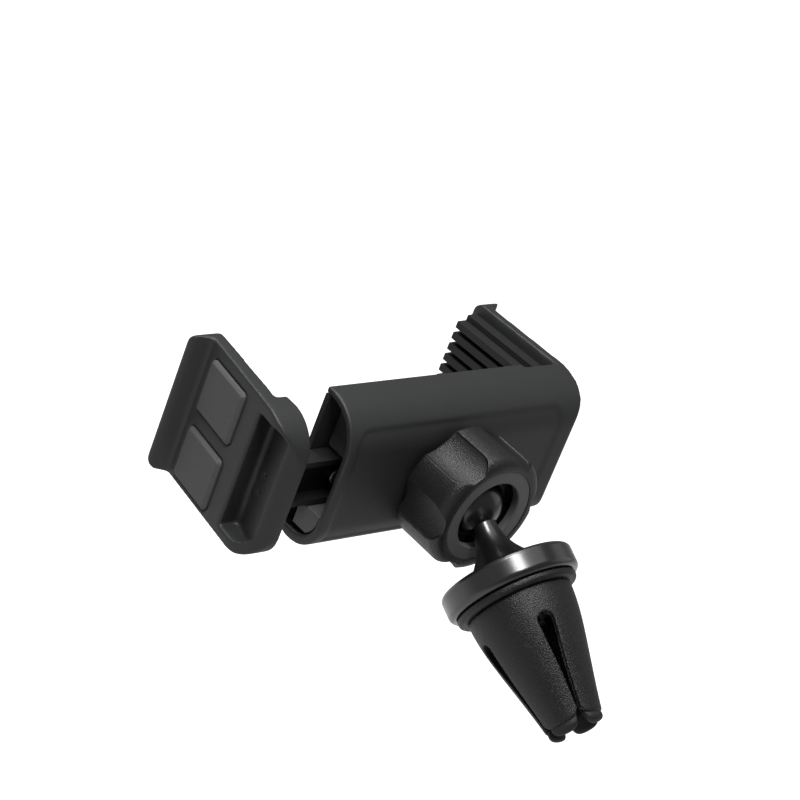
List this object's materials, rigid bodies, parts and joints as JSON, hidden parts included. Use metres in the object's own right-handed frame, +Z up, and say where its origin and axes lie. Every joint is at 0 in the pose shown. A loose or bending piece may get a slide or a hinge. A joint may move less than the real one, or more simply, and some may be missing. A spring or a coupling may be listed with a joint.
{
  "type": "car air vent phone holder",
  "caption": "Holds a phone between a fixed jaw and a sprung sliding jaw; a lockable ball joint carries it on a slotted clip that grips an air vent blade.",
  "frame": {"origin": "on the ball joint's axis, in the plane that the phone's back rests on", "axes": "+X along the slide towards the moving jaw, +Y out of the back towards the clip, +Z up along the phone"},
  "size_m": [0.0819, 0.0873, 0.0443],
  "materials": {
    "housing_plastic": "smooth moulded plastic, dark grey, soft sheen",
    "inner_plastic": "smooth moulded plastic, near black",
    "nut_plastic": "fine spark-eroded grain, near black",
    "stud_gloss": "polished, near black",
    "clip_plastic": "fine matt grain, near black",
    "pad_rubber": "matt soft rubber",
    "insert_rubber": "matt soft rubber, dark grey",
    "steel": "plain zinc-plated steel"
  },
  "bodies": {
    "clip": {"clip_prongs": "clip_plastic", "clip_flange": "clip_plastic", "prong_liner_1": "pad_rubber", "prong_liner_2": "pad_rubber", "prong_liner_3": "pad_rubber", "prong_liner_4": "pad_rubber"},
    "stud": {"ball_stud": "stud_gloss", "stud_washer": "steel", "stud_screw": "steel"},
    "liner": {"ball_liner": "inner_plastic"},
    "holder": {"rear_housing": "housing_plastic", "front_plate": "housing_plastic", "plate_screws": "steel", "back_pad": "pad_rubber", "fixed_jaw_pad": "pad_rubber", "slide_guide": "inner_plastic", "spring_pin": "steel", "return_spring": "steel", "ball_socket": "inner_plastic", "socket_screws": "steel"},
    "jaw": {"slide_jaw": "housing_plastic", "jaw_grip_pad": "pad_rubber", "jaw_insert_upper": "insert_rubber", "jaw_insert_lower": "insert_rubber", "slide_arm": "inner_plastic", "arm_screws": "steel"},
    "nut": {"lock_nut": "nut_plastic", "nut_ring": "nut_plastic"}
  },
  "joints": [
    {"name": "clip_spin", "type": "hinge", "parent": "clip", "child": "stud", "pos_m": [0, 0.0194, 0], "axis": [0, 0.8918, -0.4524], "continuous": true},
    {"name": "ball_tilt", "type": "hinge", "parent": "stud", "child": "liner", "pos_m": [0, 0.0194, 0], "axis": [1, 0, 0], "range_deg": [-53.8, 0]},
    {"name": "ball_swivel", "type": "hinge", "parent": "liner", "child": "holder", "pos_m": [0, 0.0194, 0], "axis": [0, 1, 0], "continuous": true},
    {"name": "nut_turn", "type": "hinge", "parent": "holder", "child": "nut", "pos_m": [0, 0.0194, 0], "axis": [0, 1, 0], "range_deg": [0, 270]},
    {"name": "jaw_slide", "type": "slide", "parent": "holder", "child": "jaw", "axis": [1, 0, 0], "range_m": [-0.0087, 0.022], "stiffness_N_per_m": 150, "springref_m": -0.053, "deforming": ["return_spring"]}
  ]
}
